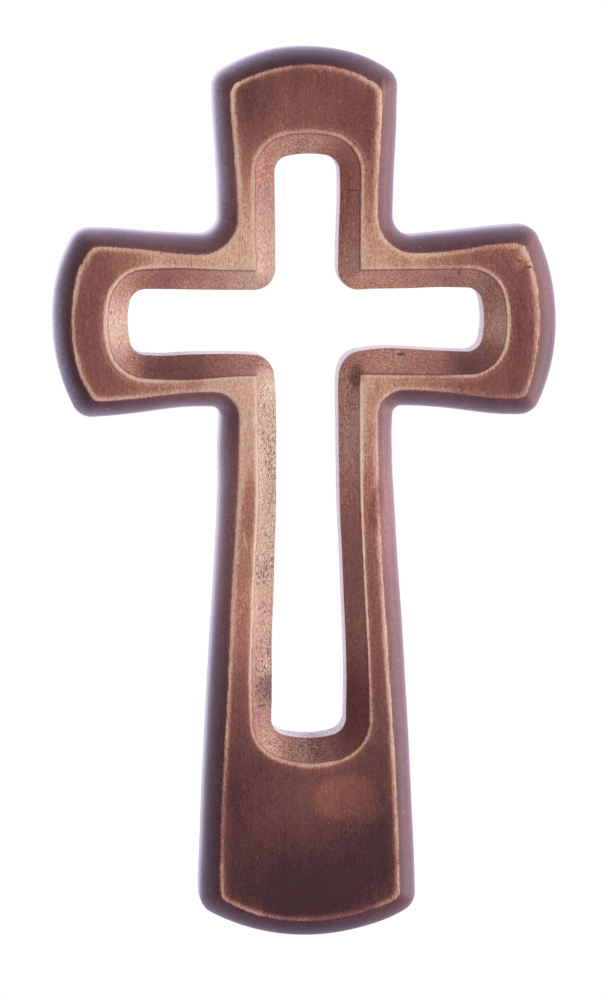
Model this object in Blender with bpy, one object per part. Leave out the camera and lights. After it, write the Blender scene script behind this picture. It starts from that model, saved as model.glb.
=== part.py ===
"""Wooden wall cross with a cross-shaped opening, carved from one piece.

Blender 4.5, metres, +Z up. The front faces -Y and the flat back lies on Y = 0.
The origin is the mouth of the nail hole in the back of the top arm.

The outline and the opening are built the same way, arm by arm, from a convex end,
two rounded tips, two swept sides and a round corner to the next arm. Both have the
same stations, so every line of the section is one closed ring parallel to one of them.
"""

import math
from dataclasses import dataclass

import bmesh
import bpy
import numpy as np

# Opening, measured from the middle of the crossing
TOP_SLOT_REACH = 0.0417
SIDE_SLOT_REACH = 0.0445
FOOT_SLOT_REACH = 0.1052
TOP_SLOT_WIDTH = 0.0160
SIDE_SLOT_WIDTH = 0.0161
FOOT_SLOT_WIDTH = 0.0157
FOOT_SLOT_SPREAD = 0.0017
SLOT_CROWN_RADIUS = 0.0255
SLOT_TIP_RADIUS = 0.0040
FOOT_SLOT_TIP_RADIUS = 0.0045

# Section across a rail: cove, flat face and rounded outer edge
THICKNESS = 0.0160
COVE_WIDTH = 0.0050
COVE_DEPTH = 0.0050
COVE_HOLLOW = 0.0004
TOP_LAND = 0.0040
SIDE_LAND = 0.0037
FOOT_LAND = 0.0041
EDGE_RADIUS = 0.0080
EDGE_START_SLOPE = math.radians(24.0)
BACK_EDGE_RADIUS = 0.0025
SLOT_BACK_EDGE = 0.0008

# Solid wood between the end of the opening and the end of each arm
TOP_CAP = 0.0268
SIDE_CAP = 0.0186
FOOT_CAP = 0.0504

# How far each side of an arm sweeps out from its waist to its end
TOP_SPREAD = 0.0013
SIDE_SPREAD = 0.0021
FOOT_SPREAD = 0.0055
TOP_FLARE = math.radians(1.0)
SIDE_FLARE = math.radians(2.0)
FOOT_FLARE = math.radians(0.5)
TOP_CROWN_RADIUS = 0.0390
SIDE_CROWN_RADIUS = 0.0475
FOOT_CROWN_RADIUS = 0.0514

# Roundings; the first two are what is left at the sharp line of the face
TIP_LINE_RADIUS = 0.0003
MITRE_LINE_RADIUS = 0.0002
UPPER_ARMPIT_RADIUS = 0.0050
LOWER_ARMPIT_RADIUS = 0.0021

# Blind nail hole in the middle of the top cap, from the back
NAIL_HOLE_DIAMETER = 0.0075
NAIL_HOLE_DEPTH = 0.0080

# Fineness of the faceted solid
CROWN_STEPS = 5
TIP_STEPS = 6
ARMPIT_STEPS = 6
SIDE_STEP_LENGTH = 0.0080
EDGE_STEPS = 5
COVE_STEPS = 3
BACK_EDGE_STEPS = 3
NAIL_HOLE_SIDES = 32
CUTTER_OVERRUN = 0.0010
SHARP_ANGLE = math.radians(20.0)

# Plan width and depth of the rounded outer edge
EDGE_WIDTH = EDGE_RADIUS * (1.0 - math.sin(EDGE_START_SLOPE))
EDGE_DEPTH = EDGE_RADIUS * math.cos(EDGE_START_SLOPE)

WOOD_COLOUR = (0.170, 0.078, 0.060, 1.0)
WOOD_ROUGHNESS = 0.42


@dataclass(frozen=True)
class Arm:
    """One arm of an outline; `waist` is half its width at the crossing."""

    reach: float
    waist: float
    spread: float
    flare: float
    crown_radius: float
    tip_radius: float
    side_steps: int


def side_steps(reach):
    """Stations along an arm's side, the same for the outline and the opening."""
    return max(4, round(reach / SIDE_STEP_LENGTH))


def slot_arm(reach, width, spread, tip_radius, steps):
    """An arm of the opening; its sides run almost parallel."""
    return Arm(reach, width / 2, spread, math.atan2(spread, reach), SLOT_CROWN_RADIUS,
               tip_radius, steps)


def outer_arm(slot, cap, land, spread, flare, crown_radius):
    """The arm of the outline that frames an arm of the opening."""
    rail = COVE_WIDTH + land + EDGE_WIDTH
    return Arm(slot.reach + cap, slot.waist + rail, spread, flare, crown_radius,
               EDGE_WIDTH + TIP_LINE_RADIUS, slot.side_steps)


TOP_SLOT = slot_arm(TOP_SLOT_REACH, TOP_SLOT_WIDTH, 0.0, SLOT_TIP_RADIUS,
                    side_steps(TOP_SLOT_REACH))
SIDE_SLOT = slot_arm(SIDE_SLOT_REACH, SIDE_SLOT_WIDTH, 0.0, SLOT_TIP_RADIUS,
                     side_steps(SIDE_SLOT_REACH))
FOOT_SLOT = slot_arm(FOOT_SLOT_REACH, FOOT_SLOT_WIDTH, FOOT_SLOT_SPREAD,
                     FOOT_SLOT_TIP_RADIUS, side_steps(FOOT_SLOT_REACH))
TOP_ARM = outer_arm(TOP_SLOT, TOP_CAP, TOP_LAND, TOP_SPREAD, TOP_FLARE, TOP_CROWN_RADIUS)
SIDE_ARM = outer_arm(SIDE_SLOT, SIDE_CAP, SIDE_LAND, SIDE_SPREAD, SIDE_FLARE,
                     SIDE_CROWN_RADIUS)
FOOT_ARM = outer_arm(FOOT_SLOT, FOOT_CAP, FOOT_LAND, FOOT_SPREAD, FOOT_FLARE,
                     FOOT_CROWN_RADIUS)

# Height of the middle of the crossing, with the nail hole at the origin
CROSSING_Z = TOP_CAP / 2 - TOP_ARM.reach


def arc(centre, radius, start, stop, steps):
    """Points and outward normals on an arc; angles turn from the arm's axis."""
    angle = np.linspace(start, stop, steps + 1)
    normal = np.stack((np.sin(angle), np.cos(angle)), axis=1)
    return np.asarray(centre) + radius * normal, normal


def swept_side(start, start_direction, stop, stop_direction, steps):
    """Points and normals of a side: a cubic curve with handles a third of its length."""
    handle = np.linalg.norm(stop - start) / 3
    first = start + handle * start_direction
    second = stop - handle * stop_direction
    t = np.linspace(0.0, 1.0, steps + 1)[:, None]
    points = ((1 - t) ** 3 * start + 3 * t * (1 - t) ** 2 * first
              + 3 * t ** 2 * (1 - t) * second + t ** 3 * stop)
    along = ((1 - t) ** 2 * (first - start) + 2 * t * (1 - t) * (second - first)
             + t ** 2 * (stop - second))
    along /= np.linalg.norm(along, axis=1, keepdims=True)
    return points, np.stack((-along[:, 1], along[:, 0]), axis=1)


def half_arm(arm, armpit_height):
    """One half of an arm, from the middle of its end down to the armpit.

    The crown meets the tip, and the tip the side, in line. Columns are the distance
    across the arm and the distance along it.
    """
    tip_x = arm.waist + arm.spread - arm.tip_radius
    crown_z = arm.reach - arm.crown_radius
    tip_z = crown_z + math.sqrt((arm.crown_radius - arm.tip_radius) ** 2 - tip_x ** 2)
    turn = math.atan2(tip_x, tip_z - crown_z)
    crown = arc((0.0, crown_z), arm.crown_radius, 0.0, turn, CROWN_STEPS)
    tip = arc((tip_x, tip_z), arm.tip_radius, turn, math.pi / 2 + arm.flare, TIP_STEPS)
    leaving = np.array((-math.sin(arm.flare), -math.cos(arm.flare)))
    armpit_top = np.array((arm.waist, armpit_height))
    side = swept_side(tip[0][-1], leaving, armpit_top, np.array((0.0, -1.0)),
                      arm.side_steps)
    return [crown, tip, side]


def armpit(first, second, radius):
    """The round inner corner from the first arm's side to the second's."""
    angle = np.linspace(0.0, math.pi / 2, ARMPIT_STEPS + 1)
    normal = np.stack((np.cos(angle), np.sin(angle)), axis=1)
    centre = np.array((first.waist + radius, second.waist + radius))
    return centre - radius * normal, normal


def cross_outline(top, side, foot, upper_radius, lower_radius):
    """Points and normals, clockwise from the top as seen from the front, in X and Z."""
    right, up = np.array((1.0, 0.0)), np.array((0.0, 1.0))
    quarters = ((top, up, side, right, upper_radius), (side, right, foot, -up, lower_radius),
                (foot, -up, side, -right, lower_radius), (side, -right, top, up, upper_radius))
    points, normals = [], []
    for first, first_axis, second, second_axis, radius in quarters:
        forward = half_arm(first, second.waist + radius)
        forward.append(armpit(first, second, radius))
        back = half_arm(second, first.waist + radius)[::-1]
        stretches = [(p, n, second_axis, first_axis) for p, n in forward]
        stretches += [(p[::-1], n[::-1], first_axis, second_axis) for p, n in back]
        for place, normal, across, along in stretches:
            basis = np.stack((across, along))
            points.append(place[:-1] @ basis)
            normals.append(normal[:-1] @ basis)
    return np.concatenate(points), np.concatenate(normals)


def edge_section():
    """Offset from the outline and depth below the face, from the sharp line to the back."""
    slope = np.linspace(EDGE_START_SLOPE, math.pi / 2, EDGE_STEPS + 1)
    front = np.stack((EDGE_RADIUS * (np.sin(slope) - 1.0),
                      EDGE_RADIUS * (math.cos(EDGE_START_SLOPE) - np.cos(slope))), axis=1)
    turn = np.linspace(0.0, math.pi / 2, BACK_EDGE_STEPS + 1)
    back = np.stack((BACK_EDGE_RADIUS * (np.cos(turn) - 1.0),
                     THICKNESS - BACK_EDGE_RADIUS * (1.0 - np.sin(turn))), axis=1)
    return np.concatenate((front, back))


def opening_section():
    """Offset from the opening and depth below the face, from the back to the cove's line."""
    t = np.linspace(0.0, 1.0, COVE_STEPS + 1)[:, None]
    wall_end, face_end = np.array((0.0, COVE_DEPTH)), np.array((COVE_WIDTH, 0.0))
    into_wood = np.array((COVE_DEPTH, COVE_WIDTH)) / math.hypot(COVE_DEPTH, COVE_WIDTH)
    cove = (1 - t) * wall_end + t * face_end + 4 * t * (1 - t) * COVE_HOLLOW * into_wood
    back = np.array(((SLOT_BACK_EDGE, THICKNESS), (0.0, THICKNESS - SLOT_BACK_EDGE)))
    return np.concatenate((back, cove))


def rings(outline, section):
    """One closed ring of points for each line of a section."""
    points, normals = outline
    result = []
    for offset, depth in section:
        flat = points + offset * normals
        y = np.full(len(flat), depth - THICKNESS)
        result.append(np.stack((flat[:, 0], y, flat[:, 1] + CROSSING_Z), axis=1))
    return result


def wood_material():
    """Stained wood with a satin finish."""
    material = bpy.data.materials.new("stained_wood")
    material.use_nodes = True
    shader = material.node_tree.nodes["Principled BSDF"]
    shader.inputs["Base Color"].default_value = WOOD_COLOUR
    shader.inputs["Roughness"].default_value = WOOD_ROUGHNESS
    shader.inputs["Metallic"].default_value = 0.0
    return material


def add_object(name, mesh_bmesh):
    """Turn a bmesh into a named object in the scene."""
    mesh = bpy.data.meshes.new(name)
    bmesh.ops.recalc_face_normals(mesh_bmesh, faces=mesh_bmesh.faces[:])
    mesh_bmesh.to_mesh(mesh)
    mesh_bmesh.free()
    thing = bpy.data.objects.new(name, mesh)
    bpy.context.scene.collection.objects.link(thing)
    return thing


def carve_cross():
    """The whole cross: closed rings joined round the section, back to back face."""
    opening = cross_outline(TOP_SLOT, SIDE_SLOT, FOOT_SLOT, COVE_WIDTH + MITRE_LINE_RADIUS,
                            COVE_WIDTH + MITRE_LINE_RADIUS)
    outline = cross_outline(TOP_ARM, SIDE_ARM, FOOT_ARM, UPPER_ARMPIT_RADIUS,
                            LOWER_ARMPIT_RADIUS)
    loops = rings(opening, opening_section()) + rings(outline, edge_section())
    carved = bmesh.new()
    grid = [[carved.verts.new(point) for point in loop] for loop in loops]
    for inner, outer in zip(grid, grid[1:] + grid[:1]):
        for k, corner in enumerate(inner):
            following = (k + 1) % len(inner)
            carved.faces.new((corner, inner[following], outer[following], outer[k]))
    return add_object("cross", carved)


def nail_hole_cutter():
    """A cylinder through the back of the top cap, round the origin."""
    length = NAIL_HOLE_DEPTH + CUTTER_OVERRUN
    drill = bmesh.new()
    bmesh.ops.create_cone(drill, cap_ends=True, segments=NAIL_HOLE_SIDES,
                          radius1=NAIL_HOLE_DIAMETER / 2, radius2=NAIL_HOLE_DIAMETER / 2,
                          depth=length)
    cutter = add_object("nail_hole_cutter", drill)
    cutter.rotation_euler = (math.pi / 2, 0.0, 0.0)
    cutter.location = (0.0, length / 2 - NAIL_HOLE_DEPTH, 0.0)
    cutter.hide_render = True
    cutter.display_type = "WIRE"
    return cutter


def build():
    """Clear the scene and build the cross with its nail hole."""
    for thing in list(bpy.data.objects):
        bpy.data.objects.remove(thing, do_unlink=True)
    cross = carve_cross()
    cross.data.materials.append(wood_material())
    cross.data.shade_smooth()
    cross.data.set_sharp_from_angle(angle=SHARP_ANGLE)
    hole = cross.modifiers.new("nail_hole", "BOOLEAN")
    hole.operation = "DIFFERENCE"
    hole.solver = "EXACT"
    hole.object = nail_hole_cutter()


build()
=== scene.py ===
"""Carved and stained wooden wall cross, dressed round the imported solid.

The cross is one carved piece. Its surface is a closed band of rings that runs from the
back edge of the opening up its wall, over the cove and the flat face, round the outer
edge and back to the flat back. Plane coordinates are X and Z from the middle of the
crossing, in metres; depth is measured down from the carved face.
"""

import logging
import math
from dataclasses import dataclass, replace
from enum import Enum

import bmesh
import bpy
import numpy as np
from mathutils import Matrix, Vector
from mathutils.geometry import delaunay_2d_cdt


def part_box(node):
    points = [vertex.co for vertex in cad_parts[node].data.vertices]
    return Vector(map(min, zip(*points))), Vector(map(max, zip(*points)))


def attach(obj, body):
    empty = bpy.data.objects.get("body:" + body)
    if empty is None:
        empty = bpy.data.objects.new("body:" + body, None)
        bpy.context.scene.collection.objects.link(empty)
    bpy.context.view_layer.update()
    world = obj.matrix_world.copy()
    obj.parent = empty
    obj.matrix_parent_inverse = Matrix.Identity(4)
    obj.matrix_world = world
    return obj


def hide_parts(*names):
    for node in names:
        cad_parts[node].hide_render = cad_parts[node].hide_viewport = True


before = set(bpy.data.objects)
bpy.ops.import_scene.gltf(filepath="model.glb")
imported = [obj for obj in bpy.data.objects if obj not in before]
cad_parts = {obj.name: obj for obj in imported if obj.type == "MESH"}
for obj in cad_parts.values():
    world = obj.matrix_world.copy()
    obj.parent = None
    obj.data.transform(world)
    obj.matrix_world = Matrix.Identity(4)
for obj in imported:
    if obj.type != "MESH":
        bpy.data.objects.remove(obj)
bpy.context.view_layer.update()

LOG = logging.getLogger("wall_cross")
MM = 0.001

Line = tuple[np.ndarray, np.ndarray]


class Attribute(Enum):
    """Per-vertex values that the finish reads, lengths in millimetres."""

    LIP_RUN = "lip_run"
    ARRIS_RUN = "arris_run"
    LIP_TONE = "lip_tone"
    ARRIS_TONE = "arris_tone"
    TONE = "tone"
    # Share of pale haze, partly a painted sheen and reflection of the lights
    HAZE_AND_SHEEN = "haze_and_sheen"
    FLECKS = "flecks"
    QUIRK = "quirk"
    RECUT = "recut"
    ARRIS_SPAN = "arris_span"
    LIP_SPAN = "lip_span"
    RIGHTWARD = "rightward"


# Outline geometry


@dataclass(frozen=True)
class Arm:
    """One arm of an outline; `waist` is half its width at the crossing."""

    reach: float
    waist: float
    spread: float
    flare: float
    crown_radius: float
    tip_radius: float
    side_steps: int

    def grown(self, offset: float, least_radius: float) -> "Arm":
        """The same arm with every line moved outwards.

        Args:
            offset: how far.
            least_radius: the least radius of its tips.

        Returns:
            The grown arm.
        """
        return replace(self, reach=self.reach + offset, waist=self.waist + offset,
                       crown_radius=self.crown_radius + offset,
                       tip_radius=max(self.tip_radius + offset, least_radius))


@dataclass(frozen=True)
class CrossLine:
    """A closed cross-shaped line of four arms with rounded inner corners."""

    top: Arm
    side: Arm
    foot: Arm
    upper_radius: float
    lower_radius: float
    crown_steps: int = 18
    tip_steps: int = 12
    armpit_steps: int = 8
    least_radius: float = 0.25 * MM
    least_tip_radius: float = 0.25 * MM

    @staticmethod
    def arc(centre: tuple[float, float], radius: float, start: float, stop: float,
            steps: int) -> Line:
        """Points centre + radius * (sin a, cos a).

        Args:
            centre: middle of the arc.
            radius: its radius.
            start: first angle a.
            stop: last angle.
            steps: number of steps along it.

        Returns:
            Its points and outward normals.
        """
        angle = np.linspace(start, stop, steps + 1)
        normal = np.stack((np.sin(angle), np.cos(angle)), axis=1)
        return np.asarray(centre) + radius * normal, normal

    @staticmethod
    def swept_side(start: np.ndarray, leaving: np.ndarray, stop: np.ndarray,
                   arriving: np.ndarray, steps: int) -> Line:
        """A cubic Bezier curve whose handles are a third of its length.

        Args:
            start: first point.
            leaving: unit direction at the first point.
            stop: last point.
            arriving: unit direction at the last point.
            steps: number of steps along it.

        Returns:
            Its points and outward normals.
        """
        handle = np.linalg.norm(stop - start) / 3
        first, second = start + handle * leaving, stop - handle * arriving
        t = np.linspace(0.0, 1.0, steps + 1)[:, None]
        points = ((1 - t) ** 3 * start + 3 * t * (1 - t) ** 2 * first
                  + 3 * t ** 2 * (1 - t) * second + t ** 3 * stop)
        along = ((1 - t) ** 2 * (first - start) + 2 * t * (1 - t) * (second - first)
                 + t ** 2 * (stop - second))
        along /= np.linalg.norm(along, axis=1, keepdims=True)
        return points, np.stack((-along[:, 1], along[:, 0]), axis=1)

    def half_arm(self, arm: Arm, armpit_height: float) -> list[Line]:
        """One half of an arm: crown arc, tip arc and side, each in line with the next.

        Args:
            arm: sizes of the arm.
            armpit_height: how far along the arm its side starts.

        Returns:
            The three stretches, with columns across and along the arm.
        """
        tip_x = arm.waist + arm.spread - arm.tip_radius
        crown_z = arm.reach - arm.crown_radius
        tip_z = crown_z + math.sqrt((arm.crown_radius - arm.tip_radius) ** 2 - tip_x ** 2)
        turn = math.atan2(tip_x, tip_z - crown_z)
        crown = self.arc((0.0, crown_z), arm.crown_radius, 0.0, turn, self.crown_steps)
        tip = self.arc((tip_x, tip_z), arm.tip_radius, turn, math.pi / 2 + arm.flare,
                       self.tip_steps)
        leaving = np.array((-math.sin(arm.flare), -math.cos(arm.flare)))
        side = self.swept_side(tip[0][-1], leaving, np.array((arm.waist, armpit_height)),
                               np.array((0.0, -1.0)), arm.side_steps)
        return [crown, tip, side]

    def armpit(self, first: Arm, second: Arm, radius: float) -> Line:
        """A quarter arc centred a radius away from both sides, between two arms.

        Args:
            first: the arm that the arc starts on.
            second: the arm that it ends on.
            radius: its radius.

        Returns:
            Its points and normals, with columns across and along the first arm.
        """
        angle = np.linspace(0.0, math.pi / 2, self.armpit_steps + 1)
        normal = np.stack((np.cos(angle), np.sin(angle)), axis=1)
        centre = np.array((first.waist + radius, second.waist + radius))
        return centre - radius * normal, normal

    def points(self, offset: float = 0.0) -> Line:
        """The line moved outwards by an offset, clockwise from the top.

        Args:
            offset: distance outwards; corners that it would fold keep a small radius.

        Returns:
            Points and outward normals, columns X and Z, the same stations for any offset.
        """
        top, side, foot = (arm.grown(offset, self.least_tip_radius)
                           for arm in (self.top, self.side, self.foot))
        upper = max(self.upper_radius - offset, self.least_radius)
        lower = max(self.lower_radius - offset, self.least_radius)
        right, up = np.array((1.0, 0.0)), np.array((0.0, 1.0))
        quarters = ((top, up, side, right, upper), (side, right, foot, -up, lower),
                    (foot, -up, side, -right, lower), (side, -right, top, up, upper))
        places, normals = [], []
        for first, first_axis, second, second_axis, radius in quarters:
            forward = self.half_arm(first, second.waist + radius)
            forward.append(self.armpit(first, second, radius))
            back = self.half_arm(second, first.waist + radius)[::-1]
            stretches = [(p, n, second_axis, first_axis) for p, n in forward]
            stretches += [(p[::-1], n[::-1], first_axis, second_axis) for p, n in back]
            for place, normal, across, along in stretches:
                basis = np.stack((across, along))
                places.append(place[:-1] @ basis)
                normals.append(normal[:-1] @ basis)
        return np.concatenate(places), np.concatenate(normals)


@dataclass(frozen=True)
class Field:
    """A value over the plane: a level, and soft swells on it at their own places.

    Each swell is its place X and Z and its reach, in millimetres, and its amount. The
    value is the level plus the sum of amount * exp(-(distance / reach) ** 2).
    """

    level: float
    swells: tuple[tuple[float, float, float, float], ...]

    def at(self, plane: np.ndarray) -> np.ndarray:
        """The value at each point.

        Args:
            plane: points in metres, with X and Z in the last axis.

        Returns:
            One value for each point.
        """
        total = 0.0
        for x, z, reach, amount in self.swells:
            away = plane / MM - np.array((x, z))
            total = total + amount * np.exp(-(away ** 2).sum(axis=-1) / reach ** 2)
        return self.level + total


def smooth_step(value: np.ndarray, limits: tuple[float, float]) -> np.ndarray:
    """Three t squared less two t cubed, with t from 0 at one limit to 1 at the other.

    Args:
        value: the values.
        limits: the two limits.

    Returns:
        The step at each value.
    """
    start, stop = limits
    share = np.clip((value - start) / (stop - start), 0.0, 1.0)
    return share * share * (3 - 2 * share)


# Where the rings of the mesh lie, in millimetres: down the top of the wall, across the
# cove from its foot to past its lip, and across the arris
WALL_TOP_RINGS = np.array((5.3, 5.15))
COVE_RINGS = np.concatenate(((0.04, 0.12, 0.3), np.linspace(0.6, 4.5, 12),
                             np.linspace(4.6, 5.1, 9), (5.2, 5.35, 5.5, 5.7, 5.95)))
ARRIS_RINGS = np.array((-1.6, -1.1, -0.7, -0.45, -0.3, -0.15, 0.0, 0.15, 0.3, 0.45, 0.7,
                        1.0, 1.35))


@dataclass(frozen=True)
class RailSection:
    """The section across a rail, from the wall of the opening to the back edge."""

    thickness: float = 16.0 * MM
    cove_width: float = 5.0 * MM
    cove_depth: float = 5.0 * MM
    cove_hollow: float = 0.57 * MM
    lip_softness: float = 0.15 * MM
    lip_end: float = 6.4 * MM
    quirk_place: float = 4.84 * MM
    quirk_half_width: float = 0.11 * MM
    quirk_depth: float = 0.16 * MM
    edge_radius: float = 8.0 * MM
    edge_start_slope: float = math.radians(24.0)
    arris_softness: float = 0.35 * MM
    arris_margin: float = 1.6 * MM
    back_edge_radius: float = 2.5 * MM
    slot_back_edge: float = 0.8 * MM
    slot_back_steps: int = 4
    wall_steps: int = 8
    wall_margin: float = 0.5 * MM
    wall_foot: float = 0.05 * MM
    edge_steps: int = 13
    side_steps: int = 6

    @property
    def edge_width(self) -> float:
        """Plan width of the rounded outer edge."""
        return self.edge_radius * (1.0 - math.sin(self.edge_start_slope))

    @property
    def edge_depth(self) -> float:
        """Depth at which the rounded outer edge meets the side."""
        return self.edge_radius * math.cos(self.edge_start_slope)

    def cove(self, offset: np.ndarray) -> np.ndarray:
        """Depth of the cove, its fine quirk and its worn lip.

        depth = slope * s * log(1 + exp((width - offset) / s)) + hollow * 4 t (1 - t)
        + quirk * exp(-((offset - place) / half width) ** 2), with t = offset / width.

        Args:
            offset: distance into the wood from the wall of the opening.

        Returns:
            Depth below the face.
        """
        soft = self.lip_softness
        bevel = soft * np.logaddexp(0.0, (self.cove_width - offset) / soft)
        t = np.clip(offset / self.cove_width, 0.0, 1.0)
        quirk = np.exp(-((offset - self.quirk_place) / self.quirk_half_width) ** 2)
        return (bevel * self.cove_depth / self.cove_width
                + 4 * self.cove_hollow * t * (1 - t) + self.quirk_depth * quirk)

    def opening_side(self) -> tuple[np.ndarray, np.ndarray]:
        """Offsets and depths from the back edge of the opening up to the flat face.

        A quarter circle, a straight wall and the cove follow one another.

        Returns:
            Offsets into the wood from the wall of the opening, and depths.
        """
        turn = np.linspace(0.0, math.pi / 2, self.slot_back_steps + 1)
        back = (self.slot_back_edge * (1 - np.sin(turn)),
                self.thickness - self.slot_back_edge * (1 - np.cos(turn)))
        even = np.linspace(self.thickness - self.slot_back_edge,
                           self.cove_depth + self.wall_margin, self.wall_steps + 1)
        wall_depth = np.concatenate((even[1:], WALL_TOP_RINGS * MM))
        offset = np.concatenate((COVE_RINGS * MM, (self.lip_end,)))
        depth = self.cove(offset)
        depth[0] += self.wall_foot
        return (np.concatenate((back[0], np.zeros(len(wall_depth)), offset)),
                np.concatenate((back[1], wall_depth, depth)))

    def outer_side(self) -> tuple[np.ndarray, np.ndarray]:
        """Offsets and depths from the flat face round the outer edge to the back.

        With t the run past the arris, depth = R (cos a - cos s), sin s = sin a + t / R;
        the arris itself is a parabola over its softness on both sides.

        Returns:
            Offsets from the outline, and depths.
        """
        radius, start, soft = self.edge_radius, self.edge_start_slope, self.arris_softness
        near = ARRIS_RINGS * MM
        slope_there = math.asin(math.sin(start) + near[-1] / radius)
        slope = np.linspace(slope_there, math.pi / 2, self.edge_steps + 1)[1:]
        run = np.concatenate((near, radius * (np.sin(slope) - math.sin(start))))
        sine = np.clip(math.sin(start) + run / radius, 0.0, 1.0)
        round_depth = radius * (math.cos(start) - np.sqrt(1 - sine ** 2))
        blend = math.tan(start) * (run + soft) ** 2 / (4 * soft)
        depth = np.where(run > soft, round_depth, np.where(run < -soft, 0.0, blend))
        steps = self.side_steps + 1
        side = np.linspace(self.edge_depth, self.thickness - self.back_edge_radius, steps)[1:]
        turn = np.linspace(0.0, math.pi / 2, steps)[1:]
        back_radius = self.back_edge_radius
        offset = np.concatenate((run - self.edge_width, np.zeros(len(side)),
                                 back_radius * (np.cos(turn) - 1)))
        return offset, np.concatenate((depth, side, self.thickness
                                       - back_radius * (1 - np.sin(turn))))


@dataclass(frozen=True)
class NailHole:
    """The blind hole that the cross hangs on, drilled into its back."""

    radius: float = 3.75 * MM
    depth: float = 8.0 * MM
    worn_rim: float = 0.35 * MM
    rim_bend: float = 0.1 * MM
    floor_rounding: float = 0.5 * MM
    stations: int = 48

    def rings(self) -> list[np.ndarray]:
        """Circles about Y, from the worn rim on the back down to the drilled floor.

        Returns:
            The points of each circle.
        """
        turn = np.linspace(0.0, 2 * math.pi, self.stations, endpoint=False)
        bend, rounding = self.rim_bend, self.floor_rounding
        profile = ((self.radius + self.worn_rim, 0.0), (self.radius + bend, bend),
                   (self.radius, self.worn_rim), (self.radius, self.depth / 2),
                   (self.radius, self.depth - rounding),
                   (self.radius - rounding + bend, self.depth - bend),
                   (self.radius / 2, self.depth))
        return [np.stack((radius * np.cos(turn), np.full(len(turn), -deep),
                          radius * np.sin(turn)), axis=1) for radius, deep in profile]


@dataclass(frozen=True)
class CrossShape:
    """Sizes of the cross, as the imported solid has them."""

    section: RailSection = RailSection()
    nail_hole: NailHole = NailHole()
    slot_crown_radius: float = 25.5 * MM
    slot_corner_radius: float = 5.2 * MM
    top_slot: tuple[float, float, float, float] = (41.7 * MM, 16.0 * MM, 0.0, 4.0 * MM)
    side_slot: tuple[float, float, float, float] = (44.5 * MM, 16.1 * MM, 0.0, 4.0 * MM)
    foot_slot: tuple[float, float, float, float] = (105.2 * MM, 15.7 * MM, 1.7 * MM, 4.5 * MM)
    top_cap: float = 26.8 * MM
    side_cap: float = 18.6 * MM
    foot_cap: float = 50.4 * MM
    lands: tuple[float, float, float] = (4.0 * MM, 3.7 * MM, 4.1 * MM)
    spreads: tuple[float, float, float] = (1.3 * MM, 2.1 * MM, 5.5 * MM)
    flares: tuple[float, float, float] = (math.radians(1), math.radians(2), math.radians(0.5))
    crowns: tuple[float, float, float] = (39.0 * MM, 47.5 * MM, 51.4 * MM)
    tip_line_radius: float = 0.3 * MM
    upper_armpit_radius: float = 5.0 * MM
    lower_armpit_radius: float = 2.1 * MM
    arris_corner_radius: float = 3.0 * MM
    station_length: float = 0.72 * MM

    @property
    def crossing_z(self) -> float:
        """Height of the middle of the crossing, with the nail hole at the origin."""
        return -self.top_cap / 2 - self.top_slot[0]

    def slot_arms(self) -> list[Arm]:
        """The arms of the opening.

        Returns:
            Its top, side and foot.
        """
        return [Arm(reach, width / 2, spread, math.atan2(spread, reach),
                    self.slot_crown_radius, tip, round(reach / self.station_length))
                for reach, width, spread, tip in (self.top_slot, self.side_slot, self.foot_slot)]

    def opening(self) -> CrossLine:
        """The wall of the opening."""
        radius = self.slot_corner_radius
        return CrossLine(*self.slot_arms(), radius, radius)

    def outline(self) -> CrossLine:
        """The outermost line of the cross.

        Returns:
            The line, whose arms swell as the opening's do.
        """
        edge, cove = self.section.edge_width, self.section.cove_width
        caps = (self.top_cap, self.side_cap, self.foot_cap)
        arms = [Arm(slot.reach + cap, slot.waist + cove + land + edge, spread, flare, crown,
                    edge + self.tip_line_radius, slot.side_steps)
                for slot, cap, land, spread, flare, crown in zip(
                    self.slot_arms(), caps, self.lands, self.spreads, self.flares, self.crowns)]
        return CrossLine(*arms, self.upper_armpit_radius, self.lower_armpit_radius,
                         least_tip_radius=self.arris_corner_radius)


# How far the knife strayed from the true lines: amounts in millimetres, outwards
# for the outline and into the wood for the opening
OUTLINE_DRIFT = Field(0.0, (
    (48.6, -23.3, 9, 0.48), (62.9, 4.6, 14, -0.35), (-61.5, 12.1, 9, 0.39),
    (-31.3, -21.8, 9, -0.38), (21.8, -35.7, 9, -0.32), (24.5, 22, 4, -0.41),
    (-31.2, 21.6, 9, 0.29), (-24, -80.2, 22, 0.19), (23.8, -76.2, 14, 0.2),
    (-21.8, -31.7, 6, 0.28), (26.5, -120.6, 14, -0.19), (21.3, -151, 6, 0.25),
    (-53.6, 23.6, 4, -0.27), (-27.1, -140.8, 6, 0.2), (-62.5, -7.6, 14, 0.13),
    (23, 55.6, 6, -0.18), (15.2, 65.4, 6, 0.19), (-23, 55.6, 9, 0.15), (41.2, -22.7, 14, 0.12),
    (1.6, 68.5, 6, -0.15), (21.7, -27.6, 4, -0.18)))
OPENING_DRIFT = Field(0.0, (
    (22.1, -8, 9, -0.91), (-8.3, -48, 14, -0.43), (9.1, -79.8, 14, 0.43), (-9.4, -94.2, 14, -0.39),
    (-8.8, -10.2, 6, 0.6), (-40.5, 8, 14, 0.33), (8, 32.3, 10, 0.48), (-8, 15.3, 22, -0.18),
    (8.4, -10.9, 4, 0.4), (-8.8, -68.2, 9, -0.26), (9.4, -91.3, 9, 0.23), (10.8, 8.6, 4, -0.29),
    (17.6, -8, 6, -0.24), (-35.6, -8, 4, 0.26), (8.6, -59.5, 9, 0.19), (33.4, 8, 6, 0.21),
    (33.3, -8, 6, -0.2), (-7.9, -27.7, 9, -0.17)))
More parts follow.
